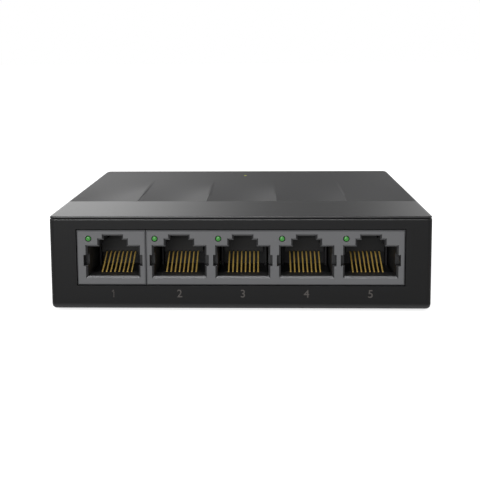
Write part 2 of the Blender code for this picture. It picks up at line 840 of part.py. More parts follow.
# Circuit board and the parts on it -------------------------------------------------


def peg_places():
    """Middles of the pegs under the jack housings, in the walls beside the cavities."""
    half = CAVITY_WIDTH / 2
    y = jack_face + PEG_SETBACK
    single_right = gang_left - HOUSING_GAP
    single = [
        (single_left + (PORTS[0] - half - single_left) / 2, y),
        (single_right - (single_right - PORTS[0] - half) / 2, y),
    ]
    gang = [((PORTS[i] + PORTS[i + 1]) / 2, y) for i in (1, 3)]
    return single, gang


def make_circuit_board():
    half = inner_x - BOARD_SIDE_GAP
    board_rear = inner_rear - BOARD_REAR_GAP
    low = (-half, front + WALL + SEAT_GAP, board_bottom)
    high = (half, board_rear, board_top)
    board = boxes("circuit_board", [(low, high)], board_laminate())

    notch_x = case_screw_x - POST_RADIUS - SEAT_GAP * 2
    notch_y = case_screw_y - POST_RADIUS - SEAT_GAP * 2
    bottom = board_bottom - OVERCUT
    top = board_top + OVERCUT
    notches = boxes(
        "board notches",
        [
            ((notch_x, notch_y, bottom), (half + OVERCUT, board_rear + OVERCUT, top)),
            ((-half - OVERCUT, notch_y, bottom), (-notch_x, board_rear + OVERCUT, top)),
        ],
        helper=True,
    )
    combine(board, notches, "DIFFERENCE")

    single, gang = peg_places()
    peg_lines = [((x, y, bottom), (x, y, top)) for x, y in single + gang]
    peg_holes = rods(
        "peg holes", peg_lines, PEG_RADIUS + FIT_GAP, helper=True, segments=16
    )
    combine(board, peg_holes, "DIFFERENCE")

    screw_lines = [((x, y, bottom), (x, y, top)) for x, y in
                   mirrored(board_screw_x, BOARD_SCREW_Y)]
    screw_holes = rods(
        "board clearance holes", screw_lines, BOARD_SCREW_SHANK + SEAT_GAP, helper=True,
        segments=16,
    )
    combine(board, screw_holes, "DIFFERENCE")


def make_board_parts():
    for number, x in enumerate(PORTS, start=1):
        name = "transformer_%d" % number
        standing_box(name, TRANSFORMER_SIZE, x, transformer_y, 0.4 * MM, black_resin())
        lamp = "status_lamp_%d" % number
        standing_box(lamp, LAMP_SIZE, x - PIPE_OFFSET, pipe_leg_y, 0.1 * MM, lamp_resin())
    standing_box("power_lamp", LAMP_SIZE, 0.0, power_lamp_y, 0.1 * MM, lamp_resin())
    standing_box("switch_chip", CHIP_SIZE, CHIP_X, chip_y, 0.2 * MM, black_resin())

    crystal_x = CHIP_X - CHIP_SIZE.x / 2 - PART_SPACING - CRYSTAL_SIZE.x / 2
    standing_box("crystal", CRYSTAL_SIZE, crystal_x, chip_y, 1.2 * MM, steel())
    regulator_x = CHIP_X + CHIP_SIZE.x / 2 + PART_SPACING + REGULATOR_SIZE.x / 2
    regulator_y = inlet_body_front - PART_SPACING - REGULATOR_SIZE.y / 2
    standing_box("regulator", REGULATOR_SIZE, regulator_x, regulator_y, 0.2 * MM, black_resin())
    inductor_x = regulator_x + REGULATOR_SIZE.x / 2 + PART_SPACING + INDUCTOR_SIZE.x / 2
    standing_box(
        "power_inductor", INDUCTOR_SIZE, inductor_x, regulator_y, 0.6 * MM, black_resin()
    )

    input_x = INLET_X + INLET_WIDTH / 2 + PART_SPACING / 2 + INPUT_CAPACITOR[0]
    make_capacitor("input_capacitor", INPUT_CAPACITOR, input_x, inlet_body_front + PART_SPACING)
    output_x = inductor_x + INDUCTOR_SIZE.x / 2 + PART_SPACING / 2 + OUTPUT_CAPACITOR[0]
    make_capacitor("output_capacitor", OUTPUT_CAPACITOR, output_x, regulator_y - PART_SPACING)


def make_capacitor(name, size, x, y):
    """A can with the groove near its foot and a slightly smaller top."""
    radius, height = size
    groove = 0.25 * MM
    profile = [
        (0.0, height),
        (radius - groove * 2, height),
        (radius, height - groove * 2),
        (radius, groove * 6),
        (radius - groove, groove * 5),
        (radius - groove, groove * 4),
        (radius, groove * 3),
        (radius, 0.0),
        (0.0, 0.0),
    ]
    turned(name, profile, (x, y, part_bottom), capacitor_sleeve(), steps=16)


# Light pipes -----------------------------------------------------------------------


def pipe_line(x):
    """From the jack's face straight back, round a quarter bend and down to the lamp."""
    bend_y = pipe_leg_y - PIPE_BEND_RADIUS
    bend_z = pipe_z - PIPE_BEND_RADIUS
    line = [(x, jack_face + 0.05 * MM, pipe_z)]
    for i in range(PIPE_BEND_STEPS + 1):
        angle = math.radians(90) * (1 - i / PIPE_BEND_STEPS)
        y = bend_y + PIPE_BEND_RADIUS * math.cos(angle)
        z = bend_z + PIPE_BEND_RADIUS * math.sin(angle)
        line.append((x, y, z))
    line.append((x, pipe_leg_y, lamp_top + SEAT_GAP))
    return line


def make_light_pipes():
    for number, x in enumerate(PORTS, start=1):
        name = "light_pipe_%d" % number
        mesh = tube_mesh(name, [pipe_line(x - PIPE_OFFSET)], PIPE_RADIUS, 2)
        add_object(name, mesh, clear_plastic())
    foot = lamp_top + SEAT_GAP
    profile = [
        (0.0, case_top - foot),
        (POWER_TIP_RADIUS, case_top - foot),
        (POWER_TIP_RADIUS, power_pipe_shoulder() - foot),
        (POWER_PIPE_RADIUS, power_pipe_shoulder() - foot),
        (POWER_PIPE_RADIUS, 0.0),
        (0.0, 0.0),
    ]
    turned("power_light_pipe", profile, (0.0, power_lamp_y, foot), clear_plastic(), steps=16)


# Jacks -----------------------------------------------------------------------------


def port_outline(x, grow):
    """Stepped outline of a port seen from the front, grown outwards by grow."""
    half = CAVITY_WIDTH / 2 + grow
    step = STEP_WIDTH / 2 + grow
    latch = LATCH_WIDTH / 2 + grow
    floor_z = part_bottom + CAVITY_FLOOR - grow
    main_z = part_bottom + CAVITY_TOP + grow
    step_z = part_bottom + STEP_TOP + grow
    latch_z = part_bottom + LATCH_TOP + grow
    right = [(half, floor_z), (half, main_z), (step, main_z),
             (step, step_z), (latch, step_z), (latch, latch_z)]
    left = [(-px, pz) for px, pz in reversed(right)]
    return [(x + px, pz) for px, pz in right + left]


def port_cavity(number, x):
    """The stepped hole through the jack, widened towards its face as a lead-in chamfer."""
    inner = port_outline(x, 0.0)
    outer = port_outline(x, LEAD_IN + OVERCUT)
    bm = outline_mesh("cavity", inner, jack_face - OVERCUT, jack_rear + OVERCUT)
    bmesh.ops.bisect_plane(
        bm,
        geom=list(bm.verts) + list(bm.edges) + list(bm.faces),
        plane_co=(0.0, jack_face + LEAD_IN, 0.0),
        plane_no=(0.0, 1.0, 0.0),
    )
    for vertex in bm.verts:
        if vertex.co.y < jack_face:
            nearest = min(
                range(len(inner)),
                key=lambda i: math.hypot(vertex.co.x - inner[i][0], vertex.co.z - inner[i][1]),
            )
            vertex.co.x, vertex.co.z = outer[nearest]
    name = "port cavity %d" % number
    return add_object(name, mesh_from(name, bm), helper=True)


def port_side_pockets(number, x):
    low_y = jack_face - OVERCUT
    high_y = jack_face + POCKET_DEPTH
    inner = CAVITY_WIDTH / 2 - OVERCUT
    outer = POCKET_WIDTH / 2
    sides = [
        ((x + near, low_y, part_bottom + POCKET_LOW), (x + far, high_y, part_bottom + POCKET_HIGH))
        for near, far in ((-outer, -inner), (inner, outer))
    ]
    return boxes("port pockets %d" % number, sides, helper=True)


def carrier_slot(number, x):
    """Opens the jack's underside behind its front lip, for the contact carrier."""
    half = CAVITY_WIDTH / 2 + 0.15 * MM
    low = (x - half, jack_face + CARRIER_SETBACK - FIT_GAP, part_bottom - OVERCUT)
    high = (x + half, jack_rear + OVERCUT, part_bottom + CAVITY_FLOOR + 0.1 * MM)
    return boxes("carrier slot %d" % number, [(low, high)], helper=True)


def pipe_bore(number, x):
    line = ((x - PIPE_OFFSET, jack_face - OVERCUT, pipe_z),
            (x - PIPE_OFFSET, jack_rear + OVERCUT, pipe_z))
    return rods("pipe bore %d" % number, [line], PIPE_RADIUS + PIPE_BORE_GAP,
                helper=True, segments=20)


def make_jack_housing(name, left, right, numbers, pegs):
    bm = bmesh.new()
    add_cube(bm, (left, jack_face, part_bottom), (right, jack_rear, jack_top))
    bevel_edges(bm, lambda a, b: max(a.y, b.y) < jack_face + 0.1 * MM, JACK_EDGE_CHAMFER)
    housing = add_object(name, mesh_from(name, bm), jack_plastic())
    for number in numbers:
        x = PORTS[number - 1]
        for cutter in (port_cavity, port_side_pockets, carrier_slot, pipe_bore):
            combine(housing, cutter(number, x), "DIFFERENCE")
    top = part_bottom + PEG_RADIUS
    lines = [((x, y, part_bottom - PEG_LENGTH), (x, y, top)) for x, y in pegs]
    combine(housing, rods(name + " pegs", lines, PEG_RADIUS, helper=True, segments=12), "UNION")


def make_jack_housings():
    single_pegs, gang_pegs = peg_places()
    single_right = gang_left - HOUSING_GAP
    make_jack_housing("jack_housing_port_1", single_left, single_right, [1], single_pegs)
    make_jack_housing(
        "jack_housing_ports_2_to_5", gang_left, gang_right, [2, 3, 4, 5], gang_pegs
    )


def wire_columns():
    return [-wire_span / 2 + i * WIRE_PITCH for i in range(WIRE_COUNT)]


def make_contact_carrier(number, x):
    """Base under the wires, upright that closes the jack's rear, and the comb block."""
    name = "contact_carrier_%d" % number
    half = CAVITY_WIDTH / 2 - FIT_GAP
    comb_front = jack_face + COMB_SETBACK
    upright_front = comb_front + COMB_DEPTH
    top = part_bottom + CAVITY_TOP - FIT_GAP
    base_front = jack_face + CARRIER_SETBACK
    carrier = boxes(
        name,
        [((x - half, base_front, part_bottom), (x + half, jack_rear, carrier_base_top))],
        carrier_plastic(),
    )
    upright = boxes(
        name + " upright",
        [((x - half, upright_front, part_bottom + OVERCUT), (x + half, jack_rear - OVERCUT, top))],
        helper=True,
    )
    combine(carrier, upright, "UNION")
    for width, low, high in (
        (STEP_WIDTH, CAVITY_TOP, STEP_TOP),
        (LATCH_WIDTH, STEP_TOP, LATCH_TOP),
    ):
        combine(carrier, notch_filler(number, x, width, low, high), "UNION")
    comb_low = part_bottom + COMB_LOW
    comb = boxes(
        name + " comb",
        [((x - COMB_WIDTH / 2, comb_front, comb_low),
          (x + COMB_WIDTH / 2, upright_front + OVERCUT, top - OVERCUT / 5))],
        helper=True,
    )
    combine(carrier, comb, "UNION")
    rib_low = carrier_base_top - OVERCUT
    ribs = boxes(
        name + " ribs",
        [((x + side - RIB_WIDTH / 2, upright_front - RIB_DEPTH, rib_low),
          (x + side + RIB_WIDTH / 2, upright_front + OVERCUT, top - OVERCUT / 4))
         for side in (-half + RIB_WIDTH, half - RIB_WIDTH)],
        helper=True,
    )
    combine(carrier, ribs, "UNION")

    slot_radius = WIRE_RADIUS + SLOT_GAP
    slots = rods(
        name + " slots",
        [((x + column, comb_front - OVERCUT, comb_low), (x + column, upright_front, comb_low))
         for column in wire_columns()],
        slot_radius,
        helper=True,
        segments=12,
    )
    combine(carrier, slots, "DIFFERENCE")
    trough = boxes(
        name + " trough",
        [((x - trough_half, wire_y - BAR_RADIUS - SEAT_GAP, part_bottom + TROUGH_FLOOR),
          (x + trough_half, wire_y + BAR_RADIUS + SEAT_GAP * 2,
           carrier_base_top + OVERCUT))],
        helper=True,
    )
    combine(carrier, trough, "DIFFERENCE")


def notch_filler(number, x, width, low, high):
    """Part of the carrier that closes one step of the latch notch behind the plug."""
    half = width / 2 - FIT_GAP
    name = "carrier %d notch filler %.1f" % (number, width / MM)
    corners = (
        (x - half, jack_face + COMB_SETBACK + OVERCUT / 5, part_bottom + low - 2 * OVERCUT),
        (x + half, jack_rear - OVERCUT * 1.2, part_bottom + high - FIT_GAP),
    )
    return boxes(name, [corners], helper=True)


def make_contact_springs(number, x):
    """Eight sprung wires on the bar that holds them; they swing about the bar."""
    name = "contact_springs_%d" % number
    half = wire_span / 2 + BAR_OVERHANG
    bm = bmesh.new()
    add_rod(bm, BAR_RADIUS, (-half, 0, 0), (half, 0, 0), segments=12)
    springs = add_object(
        name, mesh_from(name, bm, smooth=True), gold_plate(), place=(x, wire_y, wire_z)
    )
    slope = math.atan2(WIRE_RISE, WIRE_RUN)
    lines = []
    for column in wire_columns():
        lines.append([
            (column, 0.0, 0.0),
            (column, WIRE_RUN * 0.85, WIRE_RISE * 0.85),
            (column, WIRE_RUN, WIRE_RISE * 0.85 + WIRE_RUN * 0.15 * math.tan(slope / 2)),
        ])
    wires = add_object(
        name + " wires", tube_mesh(name, lines, WIRE_RADIUS, 0), helper=True,
        place=(x, wire_y, wire_z),
    )
    combine(springs, wires, "UNION")


# Power inlet -----------------------------------------------------------------------


def make_inlet_housing():
    x = INLET_X
    half = INLET_WIDTH / 2
    housing = boxes(
        "inlet_housing",
        [((x - half, inlet_body_front, part_bottom),
          (x + half, inlet_body_rear, part_bottom + INLET_HEIGHT))],
        black_resin(),
    )
    nose = rods(
        "inlet nose",
        [((x, inlet_body_rear - 1 * MM, inlet_z), (x, inlet_face, inlet_z))],
        INLET_NOSE_RADIUS,
        helper=True,
        segments=36,
    )
    combine(housing, nose, "UNION")
    bore = rods(
        "inlet bore",
        [((x, inlet_bore_end, inlet_z), (x, inlet_face + OVERCUT, inlet_z))],
        INLET_BORE_RADIUS,
        helper=True,
        segments=32,
    )
    combine(housing, bore, "DIFFERENCE")
    pin_seat = rods(
        "inlet pin seat",
        [((x, inlet_body_front - OVERCUT, inlet_z), (x, inlet_face, inlet_z))],
        INLET_PIN_RADIUS + FIT_GAP,
        helper=True,
        segments=16,
    )
    combine(housing, pin_seat, "DIFFERENCE")
    slot_half = LEAF_WIDTH / 2 + SEAT_GAP
    leaf_slot = boxes(
        "inlet leaf slot",
        [((x - slot_half, leaf_pivot_y - 1.3 * MM, part_bottom - OVERCUT),
          (x + slot_half, leaf_pivot_y + LEAF_LENGTH + SEAT_GAP, inlet_z - 2 * MM))],
        helper=True,
    )
    combine(housing, leaf_slot, "DIFFERENCE")


def make_inlet_pin():
    back = inlet_body_front - 0.2 * MM
    tip = inlet_face - INLET_PIN_SETBACK
    length = tip - back
    head = INLET_PIN_RADIUS + 1.0 * MM
    profile = [
        (0.0, length),
        (INLET_PIN_RADIUS * 0.6, length),
        (INLET_PIN_RADIUS, length - 0.5 * MM),
        (INLET_PIN_RADIUS, -SEAT_GAP),
        (head, -SEAT_GAP),
        (head, -SEAT_GAP - 0.5 * MM),
        (0.0, -SEAT_GAP - 0.5 * MM),
    ]
    towards_rear = (math.radians(-90), 0.0, 0.0)
    turned("inlet_pin", profile, (INLET_X, back, inlet_z), steel(), 20, towards_rear)


def make_inlet_leaf():
    """Sprung strip that presses on the plug's sleeve; it swings about its root."""
    rise = leaf_tip_z - leaf_pivot_z
    slope = math.atan2(rise, LEAF_LENGTH)
    bm = bmesh.new()
    add_cube(
        bm,
        (-LEAF_WIDTH / 2, 0.0, -LEAF_THICKNESS),
        (LEAF_WIDTH / 2, math.hypot(LEAF_LENGTH, rise) - 0.2 * MM, 0.0),
    )
    bmesh.ops.rotate(bm, verts=bm.verts, matrix=Matrix.Rotation(slope, 3, "X"))
    add_object(
        "inlet_leaf", mesh_from("inlet_leaf", bm), gold_plate(),
        place=(INLET_X, leaf_pivot_y, leaf_pivot_z),
    )


def make_inlet_terminal():
    """Fixed solder leg behind the leaf's root."""
    x = INLET_X
    low = (x - LEAF_WIDTH / 2, leaf_pivot_y - 0.9 * MM, part_bottom)
    high = (x + LEAF_WIDTH / 2, leaf_pivot_y - 0.5 * MM, leaf_pivot_z + 0.4 * MM)
    boxes("inlet_terminal", [(low, high)], gold_plate())


def main():
    global parts, cutters
    for leftover in list(bpy.data.objects):
        bpy.data.objects.remove(leftover)
    parts = new_collection("network switch")
    cutters = new_collection("cutters")
    make_bottom_shell()
    make_top_cover()
    make_feet()
    make_case_screws()
    make_circuit_board()
    make_board_screws()
    make_board_parts()
    make_light_pipes()
    make_jack_housings()
    for number, x in enumerate(PORTS, start=1):
        make_contact_carrier(number, x)
        make_contact_springs(number, x)
    make_inlet_housing()
    make_inlet_pin()
    make_inlet_leaf()
    make_inlet_terminal()


main()
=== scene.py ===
import math

import bpy
from mathutils import Euler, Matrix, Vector


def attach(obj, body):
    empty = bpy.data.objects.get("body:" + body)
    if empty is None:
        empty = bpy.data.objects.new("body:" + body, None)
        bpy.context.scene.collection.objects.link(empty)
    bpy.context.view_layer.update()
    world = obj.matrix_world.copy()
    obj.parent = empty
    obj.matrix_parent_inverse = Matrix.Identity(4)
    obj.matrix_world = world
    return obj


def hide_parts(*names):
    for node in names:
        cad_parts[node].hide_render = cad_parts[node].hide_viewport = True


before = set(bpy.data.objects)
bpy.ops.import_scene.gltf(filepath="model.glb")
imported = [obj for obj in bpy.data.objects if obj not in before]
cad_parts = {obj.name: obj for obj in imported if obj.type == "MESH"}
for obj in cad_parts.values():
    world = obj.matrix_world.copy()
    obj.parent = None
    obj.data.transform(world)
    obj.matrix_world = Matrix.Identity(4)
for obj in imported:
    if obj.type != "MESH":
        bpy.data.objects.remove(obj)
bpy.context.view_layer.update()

MM = 0.001

# Sizes shared by the finer pieces, in millimetres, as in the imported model
HALF_WIDTH, HALF_DEPTH = 45.0, 36.0
TOP = 23.0
CORNER = 1.2
CASE_FOOT_TOP, CASE_RIM = 2.0, 22.0

# The cover: its crease and pleats, its rounded rim, and (inset, level) down to its underside
CREASE, PLEAT_END = -16.7, 22.0
GROOVE_DEPTH, GROOVE_REACH = 0.22, 0.1
PLEATS, PLEAT_WIDTH, PLEAT_DEPTH = 5, 18.0, 0.1
STEP_REACH = 0.05
LEAN_CURVE, LEAN_REST, LEAN_LEAD = 2.2, 0.16, 4.0
COVER_SIDE, COVER_SIDE_DROP, COVER_END = 0.7, 0.35, 0.15
COVER_UNDERSIDE = [(0.0, 22.6), (2.25, 22.6), (2.25, 20.3), (3.45, 20.3), (3.45, 21.2)]

# The jacks: their front, the middles of the ports, and (x, reach) of the housings' outer sides,
# which are left out of the painted shade
JACK_FACE = -35.75
PORTS = [-30.0, -14.3, 0.7, 15.7, 30.7]
JACK_BLOCK_SIDES = [(-22.16, 0.6), (-38.5, 0.5), (38.7, 0.5)]
WIRES, WIRE_PITCH, WIRE_RADIUS = 8, 1.02, 0.18
WIRE_HINGE_Y, WIRE_HINGE_Z = -30.7, 8.15
LENS_LEFT, LENS_HEIGHT = 5.75, 17.6
POWER_LENS_BACK = 26.4
DIGIT_SIZE, DIGIT_HEIGHT = 2.65, 4.35

# The studio: floor size in millimetres and how bright each part of it is
FLOOR_REACH = 4000.0
DOME_LEFT, DOME_RIGHT = 0.75, 0.55
FRONT_LEVEL, CEILING_LEVEL, SOFT_BOX_LEVEL = 0.45, 0.3, 14.0
WALL_LEVELS = [
    (0.0, 0.65), (0.34, 0.74), (0.44, 0.48), (0.56, 0.13), (0.68, 0.11), (0.76, 0.12),
    (0.84, 0.4), (1.0, 0.45),
]


# Node helpers ----------------------------------------------------------------------


def new_node(tree, kind, **settings):
    """Adds a node; settings whose names are sockets go to the sockets."""
    node = tree.nodes.new(kind)
    for key, value in settings.items():
        if hasattr(node, key):
            setattr(node, key, value)
        else:
            node.inputs[key.replace("_", " ")].default_value = value
    return node


def link(tree, source, target):
    """Joins one node's output to another node's input."""
    tree.links.new(source, target)


def feed(tree, value, socket):
    """Gives a socket a number or another node's output."""
    if isinstance(value, (int, float)):
        socket.default_value = value
    else:
        link(tree, value, socket)


def calculate(tree, operation, *values, clamp=False):
    """A sum of numbers and other nodes' outputs."""
    node = new_node(tree, "ShaderNodeMath", operation=operation, use_clamp=clamp)
    for socket, value in zip(node.inputs, values):
        feed(tree, value, socket)
    return node.outputs[0]


def stretch(tree, value, low, high, to_low=0.0, to_high=1.0, **settings):
    """Turns the range from low to high into the range from to_low to to_high."""
    node = new_node(tree, "ShaderNodeMapRange", **settings)
    link(tree, value, node.inputs["Value"])
    for label, number in (("From Min", low), ("From Max", high)):
        node.inputs[label].default_value = number
    for label, number in (("To Min", to_low), ("To Max", to_high)):
        node.inputs[label].default_value = number
    return node.outputs["Result"]


def blend(tree, factor, first, second):
    """Mixes two values, each a number or another node's output."""
    node = new_node(tree, "ShaderNodeMix", data_type="FLOAT")
    link(tree, factor, node.inputs["Factor"])
    feed(tree, first, node.inputs["A"])
    feed(tree, second, node.inputs["B"])
    return node.outputs["Result"]


def axes_of(tree, vector):
    """The X, Y and Z of a vector."""
    split = new_node(tree, "ShaderNodeSeparateXYZ")
    link(tree, vector, split.inputs[0])
    return split.outputs


def place_on_object(tree):
    """Where each point lies in its object's own frame."""
    return new_node(tree, "ShaderNodeTexCoord").outputs["Object"]


def new_group(name, inputs, outputs):
    """An empty node group with named float inputs and (name, type) outputs."""
    tree = bpy.data.node_groups.new(name, "ShaderNodeTree")
    for label, value in inputs:
        socket = tree.interface.new_socket(name=label, in_out="INPUT", socket_type="NodeSocketFloat")
        socket.default_value = value
    for label, kind in outputs:
        tree.interface.new_socket(name=label, in_out="OUTPUT", socket_type=kind)
    return tree, tree.nodes.new("NodeGroupInput"), tree.nodes.new("NodeGroupOutput")


def moulding_grain():
    """Fine spark-eroded grain of moulded plastic, softened edges and slow unevenness."""
    tree, given, out = new_group(
        "moulding grain",
        [("Grain Scale", 4000.0), ("Grain Depth", 0.01 * MM), ("Edge Radius", 0.08 * MM)],
        [("Normal", "NodeSocketVector"), ("Unevenness", "NodeSocketFloat")],
    )
    tree.interface.new_socket(name="Lean", in_out="INPUT", socket_type="NodeSocketVector")
    place = new_node(tree, "ShaderNodeTexCoord")
    grain = new_node(tree, "ShaderNodeTexNoise", Detail=3.0, Roughness=0.6)
    slow = new_node(tree, "ShaderNodeTexNoise", Scale=70.0, Detail=2.0)
    edge = new_node(tree, "ShaderNodeBevel", samples=4)
    bump = new_node(tree, "ShaderNodeBump", Strength=1.0)
    link(tree, place.outputs["Object"], grain.inputs["Vector"])
    link(tree, place.outputs["Object"], slow.inputs["Vector"])
    link(tree, given.outputs["Grain Scale"], grain.inputs["Scale"])
    link(tree, given.outputs["Grain Depth"], bump.inputs["Distance"])
    link(tree, given.outputs["Edge Radius"], edge.inputs["Radius"])
    link(tree, grain.outputs["Fac"], bump.inputs["Height"])
    lean = new_node(tree, "ShaderNodeVectorMath", operation="ADD")
    unit = new_node(tree, "ShaderNodeVectorMath", operation="NORMALIZE")
    link(tree, edge.outputs["Normal"], lean.inputs[0])
    link(tree, given.outputs["Lean"], lean.inputs[1])
    link(tree, lean.outputs[0], unit.inputs[0])
    link(tree, unit.outputs[0], bump.inputs["Normal"])
    link(tree, bump.outputs["Normal"], out.inputs["Normal"])
    link(tree, slow.outputs["Fac"], out.inputs["Unevenness"])
    return tree


def drawn_metal():
    """Fine drawing lines of wire and sheet metal, with faint dull patches."""
    tree, given, out = new_group(
        "drawn metal",
        [("Line Scale", 3000.0), ("Line Depth", 0.002 * MM)],
        [("Normal", "NodeSocketVector"), ("Dullness", "NodeSocketFloat")],
    )
    place = new_node(tree, "ShaderNodeTexCoord")
    lines = new_node(tree, "ShaderNodeTexNoise", Detail=2.0)
    patches = new_node(tree, "ShaderNodeTexNoise", Scale=900.0, Detail=2.0)
    bump = new_node(tree, "ShaderNodeBump", Strength=1.0)
    link(tree, place.outputs["Object"], lines.inputs["Vector"])
    link(tree, place.outputs["Object"], patches.inputs["Vector"])
    link(tree, given.outputs["Line Scale"], lines.inputs["Scale"])
    link(tree, given.outputs["Line Depth"], bump.inputs["Distance"])
    link(tree, lines.outputs["Fac"], bump.inputs["Height"])
    link(tree, bump.outputs["Normal"], out.inputs["Normal"])
    link(tree, patches.outputs["Fac"], out.inputs["Dullness"])
    return tree


GRAIN = moulding_grain()
METAL = drawn_metal()


def new_material(name, group, **settings):
    """A material with a Principled shader, whose normal comes from a shared group."""
    made = bpy.data.materials.new(name)
    made.use_nodes = True
    tree = made.node_tree
    shader = tree.nodes["Principled BSDF"]
    effect = new_node(tree, "ShaderNodeGroup", node_tree=group, **settings)
    link(tree, effect.outputs["Normal"], shader.inputs["Normal"])
    return made, tree, shader, effect


def vary(tree, value, low, high, target):
    """Sends a 0 to 1 value to a socket as a range."""
    link(tree, stretch(tree, value, 0.0, 1.0, low, high), target)


def shade(tree, value, dark, light, target):
    """Mixes two colours by a 0 to 1 value and sends the result to a socket."""
    mix = new_node(tree, "ShaderNodeMix", data_type="RGBA")
    colours = [s for s in mix.inputs if s.type == "RGBA"]
    colours[0].default_value = (*dark, 1.0)
    colours[1].default_value = (*light, 1.0)
    link(tree, value, mix.inputs["Factor"])
    link(tree, next(s for s in mix.outputs if s.type == "RGBA"), target)


def plastic(name, dark, light, roughness, specular=0.5, scale=4000.0, depth=0.01, edge=0.08):
    """Moulded plastic: two close colours, a roughness that wanders, grain and soft edges."""
    made, tree, shader, grain = new_material(
        name, GRAIN, Grain_Scale=scale, Grain_Depth=depth * MM, Edge_Radius=edge * MM
    )
    shader.inputs["Specular IOR Level"].default_value = specular
    shade(tree, grain.outputs["Unevenness"], dark, light, shader.inputs["Base Color"])
    vary(tree, grain.outputs["Unevenness"], roughness - 0.05, roughness + 0.05,
         shader.inputs["Roughness"])
    return made


def metal(name, dark, light, roughness, scale=3000.0, depth=0.002, solid=1.0):
    """Drawn or plated metal."""
    made, tree, shader, lines = new_material(
        name, METAL, Line_Scale=scale, Line_Depth=depth * MM
    )
    shader.inputs["Metallic"].default_value = solid
    shade(tree, lines.outputs["Dullness"], dark, light, shader.inputs["Base Color"])
    vary(tree, lines.outputs["Dullness"], roughness - 0.05, roughness + 0.08,
         shader.inputs["Roughness"])
    return made


# Materials -------------------------------------------------------------------------


def pleat_lean():
    """How each pleat's surface leans: most at its right front corner, none at the back."""
    tree, given, out = new_group(
        "pleat lean", [("Lean Back", 0.17), ("Lean Left", 0.42)], [("Lean", "NodeSocketVector")]
    )
    x, y, _ = axes_of(tree, place_on_object(tree))
    from_left = calculate(tree, "ADD", x, HALF_WIDTH * MM)
    across = calculate(tree, "FRACT", calculate(tree, "DIVIDE", from_left, PLEAT_WIDTH * MM))
    level = calculate(tree, "SUBTRACT", calculate(tree, "POWER", across, LEAN_CURVE), LEAN_REST)
    fade = stretch(
        tree, y, (CREASE - LEAN_LEAD) * MM, (PLEAT_END - LEAN_LEAD) * MM, 1.0, 0.0,
        interpolation_type="SMOOTHERSTEP",
    )
    behind = calculate(tree, "GREATER_THAN", y, CREASE * MM)
    shape = calculate(tree, "MULTIPLY", calculate(tree, "MULTIPLY", level, fade), behind)
    back = calculate(tree, "MULTIPLY", shape, given.outputs["Lean Back"])
    left = calculate(tree, "MULTIPLY", shape, given.outputs["Lean Left"])
    join = new_node(tree, "ShaderNodeCombineXYZ")
    link(tree, calculate(tree, "MULTIPLY", left, -1.0), join.inputs["X"])
    link(tree, back, join.inputs["Y"])
    link(tree, join.outputs[0], out.inputs["Lean"])
    return tree


def cover_plastic():
    """Black plastic, satin on the front strip and finely grained behind the crease."""
    made, tree, shader, grain = new_material(
        "cover plastic", GRAIN, Grain_Scale=5200.0, Edge_Radius=0.05 * MM
    )
    shader.inputs["Specular IOR Level"].default_value = 0.5
    _, y, _ = axes_of(tree, place_on_object(tree))
    behind = stretch(tree, y, (CREASE - GROOVE_REACH) * MM, CREASE * MM)
    lean = new_node(tree, "ShaderNodeGroup", node_tree=pleat_lean())
    link(tree, lean.outputs["Lean"], grain.inputs["Lean"])
    shade(tree, behind, (0.013, 0.013, 0.014), (0.022, 0.022, 0.023),
          shader.inputs["Base Color"])
    vary(tree, behind, 0.29, 0.48, shader.inputs["Roughness"])
    vary(tree, behind, 0.003 * MM, 0.008 * MM, grain.inputs["Grain Depth"])
    return made


def case_plastic():
    """Black plastic, its foot lightened by a painted reflection of the pale floor, and shinier on
    its top rim.
    """
    made, tree, shader, grain = new_material(
        "case plastic", GRAIN, Grain_Scale=4000.0, Grain_Depth=0.01 * MM
    )
    _, _, z = axes_of(tree, place_on_object(tree))
    # low marks the foot: its lighter colour there is a painted reflection of the pale floor
    low = stretch(tree, z, CASE_FOOT_TOP * MM, (CASE_FOOT_TOP - 1.0) * MM)
    rim = stretch(tree, z, CASE_RIM * MM, (CASE_RIM + 0.2) * MM)
    edge = calculate(tree, "MAXIMUM", low, rim)
    vary(tree, edge, 0.2, 0.7, shader.inputs["Specular IOR Level"])
    # The light colour is the painted floor reflection at the foot
    shade(tree, low, (0.0072, 0.0072, 0.0075), (0.035, 0.035, 0.036),
          shader.inputs["Base Color"])
    vary(tree, grain.outputs["Unevenness"], 0.37, 0.47, shader.inputs["Roughness"])
    return made


def jack_plastic():
    """Grey plastic; painted shade darkens its side walls and the depths of its ports."""
    made, tree, shader, grain = new_material(
        "jack plastic", GRAIN, Grain_Scale=4000.0, Grain_Depth=0.008 * MM
    )
    shader.inputs["Specular IOR Level"].default_value = 0.35
    # Painted shade: sideways faces, except the housings' outer sides, and all over about 0.8 mm
    # behind the front face are coloured dark
    facing = new_node(tree, "ShaderNodeNewGeometry").outputs["True Normal"]
    sideways = calculate(tree, "ABSOLUTE", axes_of(tree, facing)[0])
    painted_side_shade = stretch(tree, sideways, 0.4, 0.7)
    x, y, _ = axes_of(tree, place_on_object(tree))
    for side, reach in JACK_BLOCK_SIDES:
        near = calculate(tree, "COMPARE", x, side * MM, reach * MM)
        painted_side_shade = calculate(tree, "SUBTRACT", painted_side_shade, near, clamp=True)
    painted_port_shade = stretch(tree, y, (JACK_FACE + 0.7) * MM, (JACK_FACE + 0.9) * MM)
    shade(tree, calculate(tree, "MAXIMUM", painted_side_shade, painted_port_shade), (0.112, 0.113, 0.117),
          (0.022, 0.022, 0.023), shader.inputs["Base Color"])
    vary(tree, grain.outputs["Unevenness"], 0.4, 0.5, shader.inputs["Roughness"])
    return made


